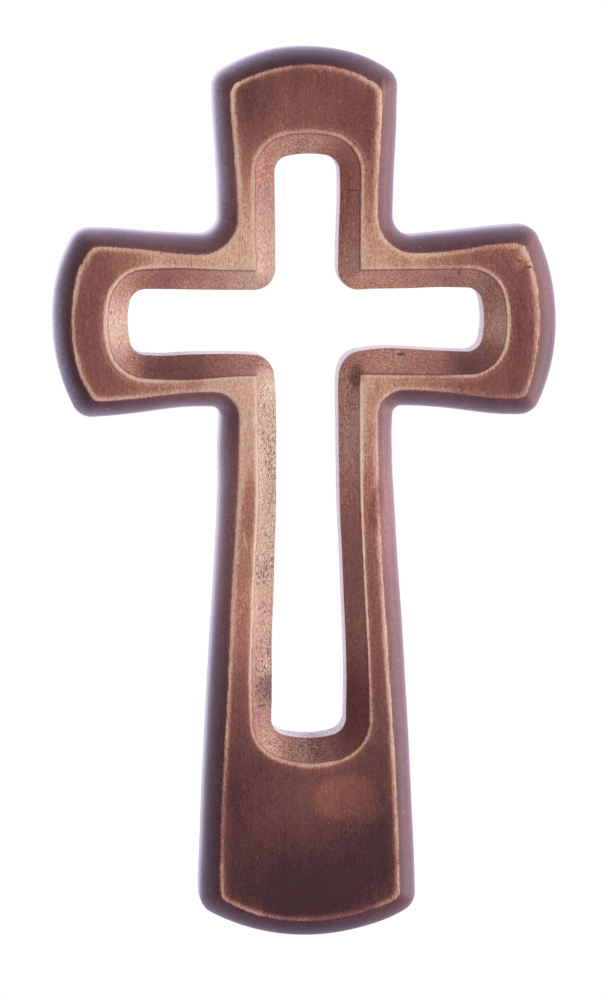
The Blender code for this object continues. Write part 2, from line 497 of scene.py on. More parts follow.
# The sharp line of the face beside the outer edge, and the lip of the cove
ARRIS_DRIFT = Field(0.0, (
    (62, 0, 20, -0.7), (-62, 0, 18, 0.4), (-22, 40, 14, 0.35), (50, -23, 10, 0.55),
    (49, 23, 8, 0.5), (-23, -64, 24, 0.6), (-25, -150, 7, -0.45), (8, -155, 16, -0.35),
    (-60, 17, 7, 0.5), (-23, 57, 9, 0.6), (-44, 22, 8, 0.3), (22, 62, 6, -0.4),
    (-17, -53, 4, -0.4), (-59.5, 21.5, 3.5, -0.55), (-58.5, -21, 3.5, -0.45)))
LIP_DRIFT = Field(0.0, (
    (8, -42, 20, -0.2), (9, -90, 18, 0.5), (44, 0, 10, 0.15), (-44, 0, 12, 0.35), (0, 42, 12, 0.3),
    (0, -105, 10, 0.5), (30, -8, 12, 0.3), (-31, -8, 10, 0.8), (-8, -44, 15, -0.45),
    (-9, -101, 7, -0.6), (-8, -13, 6, 0.14), (-33, 8, 10, 0.6), (-8, 27, 12, 0.25)))


@dataclass
class Patch:
    """Part of the surface: its points and the values that the finish reads."""

    plane: np.ndarray
    depth: np.ndarray
    values: dict[Attribute, np.ndarray]


class CarvedCross:
    """The whole cross as one closed mesh."""

    face_spacing: float = 0.8 * MM
    face_margin: float = 0.35
    hand_wave: float = 0.05 * MM
    waves: tuple[tuple[float, float, float, float], ...] = (
        (1.0, 310, 140, 0.6), (1.0, -170, 260, 2.1), (0.6, 520, -610, 4.0))
    chunk: int = 2000
    past_edge: float = 5.0
    far_run: float = 20.0
    lip_join: tuple[float, float] = (4.9, 5.5)
    arris_join: tuple[float, float] = (-0.2, 0.9)
    wall_join: tuple[float, float] = (5.2, 6.2)
    # Shares of pale haze that also paint sheen and reflection of the lights
    cove_haze_and_sheen_end: tuple[float, float] = (4.6, 5.2)
    edge_haze_and_sheen_start: tuple[float, float] = (1.2, 4.4)
    wall_haze_and_sheen: float = 0.92
    right_haze_and_sheen_loss: float = 0.75
    # Painted light: a lighter tone on edges that face the key light on the right
    right_lit_tone: float = 0.13

    def __init__(self, shape: CrossShape) -> None:
        """Keeps the sizes, the two true lines and their points.

        Args:
            shape: sizes of the cross.
        """
        self.shape = shape
        self.opening = shape.opening()
        self.outline = shape.outline()
        self.wall = self.opening.points()[0]
        self.rim, normals = self.outline.points()
        self.rightward = np.clip(normals[:, 0], 0.0, 1.0)

    @staticmethod
    def band(line: CrossLine, offsets: np.ndarray, stray: np.ndarray) -> Line:
        """Rings parallel to a line, moved along its normals by the stray of each ring.

        Args:
            line: the opening or the outline.
            offsets: offset of each ring.
            stray: extra offset, one row for each ring and one column for each station.

        Returns:
            Plane points and normals for each ring and station.
        """
        places, normals = zip(*(line.points(offset) for offset in offsets))
        return np.array(places) + stray[:, :, None] * np.array(normals), np.array(normals)

    @staticmethod
    def nearest(points: np.ndarray, loop: np.ndarray,
                normals: np.ndarray) -> tuple[np.ndarray, np.ndarray]:
        """Distance in millimetres from each point to a loop, and its nearest station.

        Args:
            points: plane points.
            loop: plane points of the loop.
            normals: the loop's normals.

        Returns:
            Distances along the normal of the nearest station, and the stations.
        """
        parts = np.array_split(points, len(points) // CarvedCross.chunk + 1)
        station = np.concatenate([((part[:, None] - loop) ** 2).sum(axis=2).argmin(axis=1)
                                  for part in parts])
        away = ((points - loop[station]) * normals[station]).sum(axis=1)
        return np.abs(away) / MM, station

    @staticmethod
    def within(points: np.ndarray, loops: list[np.ndarray]) -> np.ndarray:
        """Whether a line to the right of each point crosses the loops an odd number of times.

        Args:
            points: plane points.
            loops: closed loops of plane points.

        Returns:
            True for each point between the loops.
        """
        low = np.concatenate(loops)
        high = np.concatenate([np.roll(loop, -1, axis=0) for loop in loops])
        rise = np.where(high[:, 1] == low[:, 1], 1.0, high[:, 1] - low[:, 1])
        answers = []
        for part in np.array_split(points, len(points) // CarvedCross.chunk + 1):
            height = part[:, None, 1]
            spans = (low[:, 1] > height) != (high[:, 1] > height)
            crossing = low[:, 0] + (height - low[:, 1]) / rise * (high - low)[:, 0]
            answers.append((spans & (crossing > part[:, None, 0])).sum(axis=1) % 2 == 1)
        return np.concatenate(answers)

    def face_points(self, lip: Line, arris: Line) -> np.ndarray:
        """A triangular grid over the flat face, clear of both its edges.

        Args:
            lip: the ring on the opening's side.
            arris: the ring on the outer side.

        Returns:
            Plane points.
        """
        step = self.face_spacing
        low, high = arris[0].min(axis=0), arris[0].max(axis=0)
        rows = np.arange(low[1], high[1], step * math.sqrt(3) / 2)
        columns = np.arange(low[0], high[0], step)
        x = columns[None, :] + step / 2 * (np.arange(len(rows)) % 2)[:, None]
        grid = np.stack((x, np.broadcast_to(rows[:, None], x.shape)), axis=2).reshape(-1, 2)
        grid = grid[self.within(grid, [lip[0], arris[0]])]
        margin = self.face_margin
        clear = (self.nearest(grid, *lip)[0] > margin) & (self.nearest(grid, *arris)[0] > margin)
        return grid[clear]

    def patches(self) -> list[Patch]:
        """The opening's side, the outer side and the face between them.

        Returns:
            Three patches; the first two are rings of stations.
        """
        section = self.shape.section
        slot_offset, slot_depth = section.opening_side()
        edge_offset, edge_depth = section.outer_side()
        count = len(self.wall)
        share = np.clip(slot_offset / section.cove_width, 0.0, 1.0)[:, None]
        slot, slot_normals = self.band(
            self.opening, slot_offset,
            ((1 - share) * OPENING_DRIFT.at(self.wall) + share * LIP_DRIFT.at(self.wall)) * MM)
        share = np.clip(1 + edge_offset / section.edge_width, 0.0, 1.0)[:, None]
        edge, edge_normals = self.band(
            self.outline, edge_offset,
            (share * OUTLINE_DRIFT.at(self.rim) + (1 - share) * ARRIS_DRIFT.at(self.rim)) * MM)
        lip, arris = (slot[-1], slot_normals[-1]), (edge[0], edge_normals[0])
        face = self.face_points(lip, arris)

        lip_end, arris_start = section.lip_end / MM, -section.arris_margin / MM
        to_lip, lip_station = self.nearest(np.concatenate((arris[0], face)), *lip)
        to_arris, arris_station = self.nearest(np.concatenate((lip[0], face)), *arris)
        slot_run = slot_offset[:, None] / MM + np.zeros(count)
        edge_run = (edge_offset[:, None] + section.edge_width) / MM + np.zeros(count)
        past = edge_run + self.past_edge * (edge_depth[:, None] > section.edge_depth)
        lip_runs = (slot_run, edge_run - arris_start + lip_end + to_lip[:count],
                    lip_end + to_lip[count:])
        arris_runs = (arris_start - to_arris[:count] + slot_run - lip_end, past,
                      arris_start - to_arris[count:])
        here = np.arange(count)
        lip_stations = (here, lip_station[:count], lip_station[count:])
        arris_stations = (arris_station[:count], here, arris_station[count:])
        planes = (slot, edge, face)
        depths = (slot_depth[:, None] + np.zeros(count), edge_depth[:, None] + np.zeros(count),
                  np.zeros(len(face)))
        return [self.patch(*parts) for parts in zip(planes, depths, lip_runs, arris_runs,
                                                    lip_stations, arris_stations)]

    def patch(self, plane: np.ndarray, depth: np.ndarray, lip_run: np.ndarray,
              arris_run: np.ndarray, by_lip: np.ndarray, by_arris: np.ndarray) -> Patch:
        """One part of the surface with its values.

        Args:
            plane: plane points.
            depth: their depths.
            lip_run: their runs past the wall of the opening.
            arris_run: their runs past the arris.
            by_lip: the station of the opening nearest to each.
            by_arris: the station of the outline nearest to each.

        Returns:
            The patch, its arrays flat.
        """
        rightward = self.rightward[by_arris]
        # Painted reflection: the haze share is mostly cut on edges that face the key light on the
        # right
        haze_and_sheen_kept = 1 - self.right_haze_and_sheen_loss * rightward * (arris_run > 0.0)
        values = {Attribute.LIP_RUN: lip_run, Attribute.ARRIS_RUN: arris_run,
                  Attribute.RIGHTWARD: rightward, Attribute.FLECKS: FLECK_CLUSTERS.at(plane),
                  Attribute.TONE: self.toning(plane, lip_run, arris_run, rightward),
                  Attribute.HAZE_AND_SHEEN: self.haze_and_sheen(plane, depth, lip_run, arris_run) * haze_and_sheen_kept}
        for line, station, fields in ((self.wall, by_lip, OPENING_FIELDS),
                                      (self.rim, by_arris, OUTLINE_FIELDS)):
            values |= {name: field.at(line)[station] for name, field in fields.items()}
        return Patch(plane.reshape(-1, 2), (depth + self.unevenness(plane, depth)).ravel(),
                     {name: np.broadcast_to(value, lip_run.shape).ravel()
                      for name, value in values.items()})

    def haze_and_sheen(self, plane: np.ndarray, depth: np.ndarray, lip_run: np.ndarray,
              arris_run: np.ndarray) -> np.ndarray:
        """Share of pale haze and painted sheen on the cove, the opening's wall and the outer edge.

        Args:
            plane: plane points.
            depth: their depths.
            lip_run: their runs past the wall of the opening.
            arris_run: their runs past the arris.

        Returns:
            The share at each point.
        """
        inside = lip_run <= 0.0
        # The wall of the opening is made near white: raw wood with a painted sheen
        wall = inside * smooth_step(depth / MM, self.wall_join)
        # In the cove: pale fibres with a painted sheen, strongest where the cove faces the key
        # light
        cove = COVE_HAZE_AND_SHEEN.at(plane) * (1 - smooth_step(lip_run, self.cove_haze_and_sheen_end))
        # On the outer edge it is a painted reflection of the backlight, growing round the edge
        edge = EDGE_HAZE_AND_SHEEN.at(plane) * smooth_step(arris_run, self.edge_haze_and_sheen_start)
        return np.where(inside, wall * self.wall_haze_and_sheen + (1 - wall) * cove, cove + edge)

    def toning(self, plane: np.ndarray, lip_run: np.ndarray, arris_run: np.ndarray,
               rightward: np.ndarray) -> np.ndarray:
        """How light the stain is, from 0 for the darkest to 1 for the tan of the crossing.

        The cove, the face and the edge each have their own patches; smooth steps join them
        over the lip and the arris.

        Args:
            plane: plane points.
            lip_run: their runs past the wall of the opening.
            arris_run: their runs past the arris.
            rightward: how far the outer edge beside them faces right, from 0 to 1.

        Returns:
            The tone at each point.
        """
        tone = COVE_TONE.at(plane)
        tone += (FACE_TONE.at(plane) - tone) * smooth_step(lip_run, self.lip_join)
        # Painted light: the outer edge is made lighter where it faces right, towards the key light
        edge = EDGE_TONE.at(plane) + self.right_lit_tone * rightward
        tone += (edge - tone) * smooth_step(arris_run, self.arris_join)
        return tone

    def unevenness(self, plane: np.ndarray, depth: np.ndarray) -> np.ndarray:
        """Low waves of hand work: a sum of share * sin(a x + b z + c), less towards the back.

        Args:
            plane: plane points.
            depth: their depths.

        Returns:
            The extra depth at each point.
        """
        x, z = plane[..., 0], plane[..., 1]
        wave = sum(share * np.sin(a * x + b * z + c) for share, a, b, c in self.waves)
        return self.hand_wave * wave * np.clip(1 - depth / self.shape.section.edge_depth, 0, 1)

    def filled(self, loops: list[np.ndarray], starts: list[int], inner: np.ndarray,
               inner_start: int) -> np.ndarray:
        """Triangles of a flat region between closed loops.

        Args:
            loops: closed loops of plane points.
            starts: index of each loop's first vertex in the mesh.
            inner: more plane points between the loops.
            inner_start: index of the first of these in the mesh.

        Returns:
            Rows of three vertex indices.
        """
        points = np.concatenate((*loops, inner))
        runs = [start + np.arange(len(loop)) for loop, start in zip(loops, starts)]
        index = np.concatenate((*runs, inner_start + np.arange(len(inner))))
        edges, first = [], 0
        for loop in loops:
            here = first + np.arange(len(loop))
            edges.append(np.column_stack((here, np.roll(here, -1))))
            first += len(loop)
        cut = delaunay_2d_cdt([Vector(p) for p in (points / MM).tolist()],
                              np.concatenate(edges).tolist(), [], 1, 1e-7)
        faces = np.array(cut[2])
        return index[faces[self.within(points[faces].mean(axis=1), loops)]]

    def build(self) -> bpy.types.Object:
        """Joins the rings, the back and the nail hole into one closed piece.

        Returns:
            The cross, with its attributes set and its material slot still empty.
        """
        shape = self.shape
        patches = self.patches()
        slot, edge, face = patches
        count = len(self.wall)
        plane = np.concatenate([patch.plane for patch in patches])
        depth = np.concatenate([patch.depth for patch in patches])
        carved = np.column_stack((plane[:, 0], depth - shape.section.thickness,
                                  plane[:, 1] + shape.crossing_z))
        edge_start, face_start = len(slot.plane), len(slot.plane) + len(edge.plane)
        carved[:count, 1] = 0.0
        carved[face_start - count:face_start, 1] = 0.0
        hole = shape.nail_hole.rings()
        floor = np.array(((0.0, -shape.nail_hole.depth, 0.0),))
        vertices = np.concatenate((carved, *hole, floor))
        hole_start, sides = len(carved), shape.nail_hole.stations
        last = hole_start + (len(hole) - 1) * sides + np.arange(sides)
        fan = np.column_stack((last, np.full(sides, len(vertices) - 1), np.roll(last, -1)))
        front = self.filled([slot.plane[-count:], edge.plane[:count]],
                            [edge_start - count, edge_start], face.plane, face_start)
        back = self.filled(
            [carved[:count, ::2], carved[face_start - count:face_start, ::2], hole[0][:, ::2]],
            [0, face_start - count, hole_start], np.empty((0, 2)), 0)
        faces = [self.strip(0, count, edge_start // count),
                 self.strip(edge_start, count, len(edge.plane) // count),
                 self.strip(hole_start, sides, len(hole)), fan, front, back]
        mesh = bpy.data.meshes.new("carved_cross")
        mesh.from_pydata(vertices.tolist(), [], sum((part.tolist() for part in faces), []))
        self.write_values(mesh, patches)
        mesh.validate()
        self.face_outwards(mesh)
        mesh.shade_smooth()
        cross = bpy.data.objects.new("carved_cross", mesh)
        bpy.context.scene.collection.objects.link(cross)
        return cross

    @staticmethod
    def strip(first: int, size: int, ring_count: int) -> np.ndarray:
        """Quads between consecutive rings of one size.

        Args:
            first: index of the first ring's first vertex.
            size: number of vertices in a ring.
            ring_count: number of rings.

        Returns:
            Rows of four vertex indices.
        """
        grid = first + np.arange(ring_count * size).reshape(ring_count, size)
        along = np.roll(grid, -1, axis=1)
        return np.stack((grid[:-1], grid[1:], along[1:], along[:-1]), axis=2).reshape(-1, 4)

    def write_values(self, mesh: bpy.types.Mesh, patches: list[Patch]) -> None:
        """Writes the patches' values to the mesh; the nail hole is far from every line.

        Args:
            mesh: the mesh, whose first vertices are the patches' own.
            patches: the three patches.
        """
        for name in patches[0].values:
            carved = np.concatenate([patch.values[name] for patch in patches])
            rest = self.far_run if name in (Attribute.LIP_RUN, Attribute.ARRIS_RUN) else 0.0
            column = np.full(len(mesh.vertices), rest, dtype=np.float32)
            column[:len(carved)] = carved
            mesh.attributes.new(name.value, "FLOAT", "POINT").data.foreach_set("value", column)

    @staticmethod
    def face_outwards(mesh: bpy.types.Mesh) -> None:
        """Makes every face point out of the wood.

        Args:
            mesh: the closed mesh.
        """
        work = bmesh.new()
        work.from_mesh(mesh)
        bmesh.ops.recalc_face_normals(work, faces=work.faces[:])
        work.to_mesh(mesh)
        work.free()


# Wear, stain and painted light, by place on the cross in millimetres from the crossing
# The broad swell on the lip along the left side of the shaft, which faces the light, is a painted
# glint as well as wear
LIP_TONE = Field(1.0, (
    (0, 42, 9, -0.15), (36, 8, 8, -0.15), (32, -8, 10, -0.16), (8, -38, 18, 0.1),
    (-8, -50, 35, 0.37), (9, -96, 12, -0.2), (-5, -105, 8, -0.05), (-9, -80, 14, 0.1),
    (-30, -8, 10, -0.1), (-8, -10, 9, 0.1), (44, 0, 8, 0.15), (-44, 0, 10, 0.24),
    (-8, 20, 12, 0.08)))
ARRIS_TONE = Field(1.06, (
    (10, -154, 19, -0.52), (-27, -126, 22, -0.33), (46, -22, 18, -0.41), (48, 23, 12, -0.2),
    (0, 68, 16, -0.3), (-23, 60, 6, 0.18), (62, 0, 12, -0.1), (-40, -22, 14, -0.14),
    (-40, 23, 14, -0.08), (26, -135, 9, -0.08), (-23, -62, 18, -0.03), (-8, -155, 9, -0.15)))
ARRIS_SPAN = Field(1.15, (
    (61, 8, 22, 0.5), (22, 48, 14, 0.4), (-60, 17, 8, 0.4), (-22, 45, 10, 0.3),
    (26, -130, 14, 0.25), (0, -155, 25, 0.1)))
LIP_SPAN = Field(0.8, (
    (0, 42, 14, 0.4), (-44, 0, 12, 0.3), (44, 0, 12, 0.3), (0, -106, 12, 0.5), (-8, -62, 35, -0.3),
    (-8, 20, 10, -0.2)))
QUIRK_LINES = Field(1.0, (
    (-8, -52, 42, -0.9), (8, -52, 34, -0.65), (-44, 0, 10, -0.35), (0, -105, 12, -0.3),
    (44, 0, 12, -0.55), (0, 42, 12, -0.15), (-8, 24, 15, -0.75)))
RECUT_LINES = Field(0.0, (
    (12, 44, 7, 0.9), (-47, -9, 7, 0.8), (25, -13, 12, 0.7)))
FACE_TONE = Field(0.42, (
    (-3, -148, 28, -0.44), (-15, -18, 42, 0.69), (18, 15, 28, 0.35), (-2, -121, 11, 0.17),
    (-15, -75, 18, 0.31), (-40, -16, 28, -0.19), (21, -131, 12, -0.25), (-15, 23, 18, 0.3),
    (-19, -115, 12, -0.15), (-17, 58, 8, -0.23), (16, 49, 12, -0.13), (-38, 16, 8, 0.24),
    (17, -65, 18, 0.08), (18, -20, 10, 0.03), (19, -111, 8, -0.1), (54, -1, 12, -0.1),
    (0, -146, 9, -0.12), (0, 56, 14, 0.09), (0, 62, 6, -0.07)))
COVE_TONE = Field(0.76, (
    (11, -96, 12, -0.44), (-32, -12, 8, -0.2), (48, -2, 5, 0.28), (40, -12, 5, -0.48),
    (-9, -23, 42, 0.13), (-10, -107, 5, 0.24), (-12, -77, 12, 0.14), (-36, 11, 5, -0.14),
    (-49, 1, 8, 0.14), (13, -60, 18, -0.08), (-28, -12, 12, -0.18), (10, -107, 5, -0.17),
    (48, 5, 5, 0.1), (9, 12, 12, 0.1), (11, -28, 12, 0.08), (-16, 10, 5, 0.13),
    (12, -68, 14, -0.07), (12, 30, 14, -0.03), (12, -45, 14, -0.03), (0, 45, 8, 0.1)))
EDGE_TONE = Field(0.27, (
    (-21, 38, 18, 0.32), (-19, -46, 28, 0.36), (24, -137, 42, -0.14), (61, -10, 28, -0.16),
    (19, -46, 18, 0.14), (-1, 66, 18, -0.29), (-59, -18, 18, -0.18), (-22, 56, 5, 0.2),
    (62, 6, 14, 0.12), (-21, -76, 18, 0.1), (-23, -135, 25, -0.1), (0, -155, 16, -0.1)))
# Pale haze in the cove, strongest on the coves that face the key light on the right: partly dry
# pale fibres and partly painted sheen
COVE_HAZE_AND_SHEEN = Field(0.03, (
    (-12, -34, 20, 0.27), (13, -105, 28, -0.03), (-9, -16, 5, 0.22), (-11, 19, 12, 0.2),
    (12, -15, 42, -0.01), (-12, -61, 14, 0.21), (-48, -2, 7, 0.2), (-28, -12, 12, -0.06),
    (48, 0, 10, 0.01), (-11, -90, 12, 0.11), (0, 45, 8, 0.03), (12, 30, 12, -0.02),
    (12, -22, 9, -0.045), (0, -108, 8, 0.12), (32, 11, 14, 0.03), (32, -11, 14, 0.03)))
# Pale haze on the outer edge, strongest on edges that face left: mostly a painted reflection of
# the bright backlight, with pale specks
EDGE_HAZE_AND_SHEEN = Field(0.11, (
    (-60, -6, 18, 0.34), (-21, 50, 18, 0.28), (39, -19, 42, -0.12), (25, -117, 42, -0.12),
    (-21, -37, 8, 0.22), (-44, -21, 8, -0.15), (21, 35, 18, -0.11), (-20, 34, 5, 0.19),
    (0, -156, 16, -0.08)))
FLECK_CLUSTERS = Field(0.11, (
    (-12, -30, 22, 0.14), (-10.4, -62, 4, 0.09), (-12, -66, 14, 0.09), (-10.2, -71.5, 3, 0.08),
    (-10.5, -92, 4, 0.19), (-9.5, -95.5, 2.5, 0.08), (-12, -86, 8, 0.08), (0, 45, 4, 0.12),
    (12, -30, 14, 0.01), (-12, 20, 14, 0.07), (-11, 38, 6, 0.08), (-36, -12, 9, 0.2),
    (36, -12, 12, 0.06), (12, -14, 4, 0.12), (2, -109, 12, 0.2)))

OPENING_FIELDS = {Attribute.LIP_TONE: LIP_TONE, Attribute.LIP_SPAN: LIP_SPAN,
                  Attribute.QUIRK: QUIRK_LINES, Attribute.RECUT: RECUT_LINES}
OUTLINE_FIELDS = {Attribute.ARRIS_TONE: ARRIS_TONE, Attribute.ARRIS_SPAN: ARRIS_SPAN}


@dataclass(frozen=True)
class Mark:
    """One stain, scuff or nick: its middle, its size in millimetres and its change of tone."""

    x: float
    z: float
    angle: float
    half_length: float
    half_width: float
    tone: float
    softness: float = 0.35
    raggedness: float = 0.8
    warmth: float = 0.0


MARKS = (
    Mark(8.6, -119.5, 8, 8.0, 5.6, 0.20, 0.22, 0.5, 1.0), Mark(15.0, -124.0, 30, 4.5, 2.0, 0.10),
    Mark(11.2, 32.7, 0, 1.9, 0.14, -0.30),
    Mark(-11.9, 27.2, 80, 0.4, 0.2, -0.45), Mark(-46.7, 7.2, 60, 0.4, 0.14, -0.40),
    Mark(-49.0, 2.8, 88, 0.6, 0.2, -0.50), Mark(-38.5, -10.9, 0, 3.6, 1.6, -0.15, 0.6, 1.6),
    Mark(53.2, 15.6, 65, 2.6, 1.2, 0.22, 0.6, 1.0), Mark(52.7, 15.0, 0, 0.5, 0.4, -0.40),
    Mark(55.3, 13.4, 20, 0.55, 0.3, -0.50), Mark(37.9, 12.2, 75, 0.8, 0.2, -0.50),
    Mark(35.2, 10.5, 20, 1.5, 0.15, -0.35), Mark(23.6, -8.4, 0, 1.0, 0.35, -0.60),
    Mark(12.4, -13.4, 70, 2.8, 1.4, -0.30, 0.5, 1.6), Mark(18.9, 57.0, 86, 4.0, 0.6, 0.25),
    Mark(-15.9, -54.5, 100, 2.6, 0.3, 0.14), Mark(-14.8, -46.0, 86, 8.0, 1.9, -0.12, 0.5),
    Mark(-11.0, -92.0, 85, 2.8, 2.2, -0.12, 0.4, 2.4), Mark(-11.7, -96.4, 0, 0.9, 0.3, -0.50),
    Mark(-10.4, -87.0, 88, 4.0, 1.0, 0.12), Mark(13.0, -37.0, 89, 11.0, 0.14, -0.16),
    Mark(14.1, -40.0, 89, 8.0, 0.12, -0.16), Mark(16.9, -46.0, 80, 6.0, 1.5, -0.14, 0.4))


# Finishes

Colour = tuple[float, float, float]


class Value:
    """One output of a node; arithmetic on it adds further nodes to the same tree."""

    def __init__(self, sketch: "Sketch", socket: bpy.types.NodeSocket) -> None:
        """Keeps the socket and the sketch that draws its tree."""
        self.sketch, self.socket = sketch, socket

    def __add__(self, other: "Plug") -> "Value":
        """This plus the other."""
        return self.sketch.math("ADD", self, other)

    def __sub__(self, other: "Plug") -> "Value":
        """This less the other."""
        return self.sketch.math("SUBTRACT", self, other)

    def __rsub__(self, other: float) -> "Value":
        """A number less this."""
        return self.sketch.math("SUBTRACT", other, self)

    def __mul__(self, other: "Plug") -> "Value":
        """This times the other."""
        return self.sketch.math("MULTIPLY", self, other)

    def __truediv__(self, other: "Plug") -> "Value":
        """This divided by the other."""
        return self.sketch.math("DIVIDE", self, other)

    __radd__, __rmul__ = __add__, __mul__


Plug = Value | float | Colour
Setting = str | bool | bpy.types.NodeTree


class Sketch:
    """Adds nodes to a tree; every input is a number, a colour or another node's value."""

    def __init__(self, tree: bpy.types.NodeTree) -> None:
        """Keeps the tree that the nodes go into."""
        self.tree = tree

    def feed(self, socket: bpy.types.NodeSocket, value: Plug) -> None:
        """Links a value to an input, or sets the input to a number or a colour.

        Args:
            socket: the input.
            value: what goes into it.
        """
        if isinstance(value, Value):
            self.tree.links.new(value.socket, socket)
        else:
            socket.default_value = (*value, 1.0) if socket.type == "RGBA" else value

    def node(self, kind: str, inputs: dict, **settings: Setting) -> bpy.types.Node:
        """Adds one node.

        Args:
            kind: the node's type, without the leading "ShaderNode".
            inputs: what goes into each input, by name or number.
            **settings: the node's own properties.

        Returns:
            The new node.
        """
        made = self.tree.nodes.new("ShaderNode" + kind)
        for name, setting in settings.items():
            setattr(made, name, setting)
        for name, value in inputs.items():
            self.feed(made.inputs[name], value)
        return made

    def value(self, kind: str, inputs: dict, output: int | str = 0,
              **settings: Setting) -> Value:
        """Adds one node, as `node` does, and gives one of its outputs."""
        return Value(self, self.node(kind, inputs, **settings).outputs[output])

    def math(self, operation: str, *values: Plug, clamp: bool = False) -> Value:
        """One step of arithmetic on numbers."""
        return self.value("Math", dict(enumerate(values)), operation=operation, use_clamp=clamp)

    def mix(self, amount: Plug, first: Plug, second: Plug, blend: str = "MIX") -> Value:
        """Two colours mixed by an amount."""
        return self.value("Mix", {0: amount, 6: first, 7: second}, 2, data_type="RGBA",
                          blend_type=blend)

    def tinted(self, amount: Plug, colour: Plug, tint: Plug) -> Value:
        """A colour moved by an amount towards itself times a tint."""
        return self.mix(amount, colour, self.mix(1.0, colour, tint, "MULTIPLY"))

    def fade(self, value: Plug, start: Plug, stop: Plug, first: float = 0.0,
             last: float = 1.0) -> Value:
        """A smooth step of a value from one limit to another.

        Args:
            value: the value.
            start: the limit at which the result is the first one.
            stop: the limit at which the result is the last one.
            first: the first result.
            last: the last result.

        Returns:
            The result.
        """
        return self.value("MapRange", {0: value, 1: start, 2: stop, 3: first, 4: last},
                          interpolation_type="SMOOTHSTEP")

    def ramp(self, value: Value, stops: tuple[tuple[float, Colour], ...]) -> Value:
        """A colour looked up between stops.

        Args:
            value: where to look, from 0 to the last stop's place.
            stops: places and colours, the first at 0.

        Returns:
            The colour, in straight steps between the stops.
        """
        span = stops[-1][0]
        made = self.node("ValToRGB", {0: value / span})
        elements = made.color_ramp.elements
        for place, _ in stops[2:]:
            elements.new(place / span)
        for element, (place, colour) in zip(elements, stops):
            element.position = place / span
            element.color = (*colour, 1.0)
        return Value(self, made.outputs[0])

    def noise(self, place: Plug, scale: Colour, shift: float = 0.0, detail: float = 2.0,
              roughness: float = 0.5) -> Value:
        """Noise between 0 and 1, about 0.5, scaled along each axis.

        Args:
            place: coordinates in metres.
            scale: cells in a metre along X, Y and Z.
            shift: moves the pattern, so that two kinds of noise don't match.
            detail: number of finer layers.
            roughness: strength of each finer layer.

        Returns:
            The noise.
        """
        scaled = self.value("Mapping", {"Vector": place, "Scale": scale, "Location": (shift,) * 3})
        return self.value("TexNoise", {"Vector": scaled, "Scale": 1.0, "Detail": detail,
                                       "Roughness": roughness}, "Fac")

    def split(self, vector: Plug) -> list[Value]:
        """The three parts of a vector."""
        return [Value(self, part) for part in self.node("SeparateXYZ", {0: vector}).outputs]

    def toward(self, value: Plug, goal: Plug, share: Plug) -> Value:
        """A value moved towards a goal by a share of the way."""
        return value + (goal - value) * share

    def attribute(self, name: Attribute) -> Value:
        """A per-vertex value of the piece."""
        return self.value("Attribute", {}, "Fac", attribute_name=name.value)

    def effect(self, group: bpy.types.NodeTree, **inputs: Plug) -> dict[str, Value]:
        """Places one shared effect with its own values.

        Args:
            group: the effect's node group.
            **inputs: what goes into its inputs, with low lines for spaces.

        Returns:
            Its outputs by name.
        """
        made = self.node("Group", {}, node_tree=group)
        for label, value in inputs.items():
            self.feed(made.inputs[label.replace("_", " ").title()], value)
        return {output.name: Value(self, output) for output in made.outputs}


def new_group(name: str, inputs: dict[str, float | None],
              outputs: tuple[str, ...] = ("Mask",)
              ) -> tuple[Sketch, dict[str, Value], dict[str, bpy.types.NodeSocket]]:
    """Makes an empty shader node group.

    Args:
        name: name of the group.
        inputs: each input's starting number, or None for a vector.
        outputs: names of the outputs, all plain values.

    Returns:
        A sketch of the group, the values of its inputs, and the sockets of its outputs.
    """
    tree = bpy.data.node_groups.new(name, "ShaderNodeTree")
    for label, value in inputs.items():
        kind = "NodeSocketVector" if value is None else "NodeSocketFloat"
        socket = tree.interface.new_socket(label, in_out="INPUT", socket_type=kind)
        if value is not None:
            socket.default_value = value
    for label in outputs:
        tree.interface.new_socket(label, in_out="OUTPUT", socket_type="NodeSocketFloat")
    s = Sketch(tree)
    entry, leave = tree.nodes.new("NodeGroupInput"), tree.nodes.new("NodeGroupOutput")
    return (s, {label: Value(s, entry.outputs[label]) for label in inputs},
            {label: leave.inputs[label] for label in outputs})


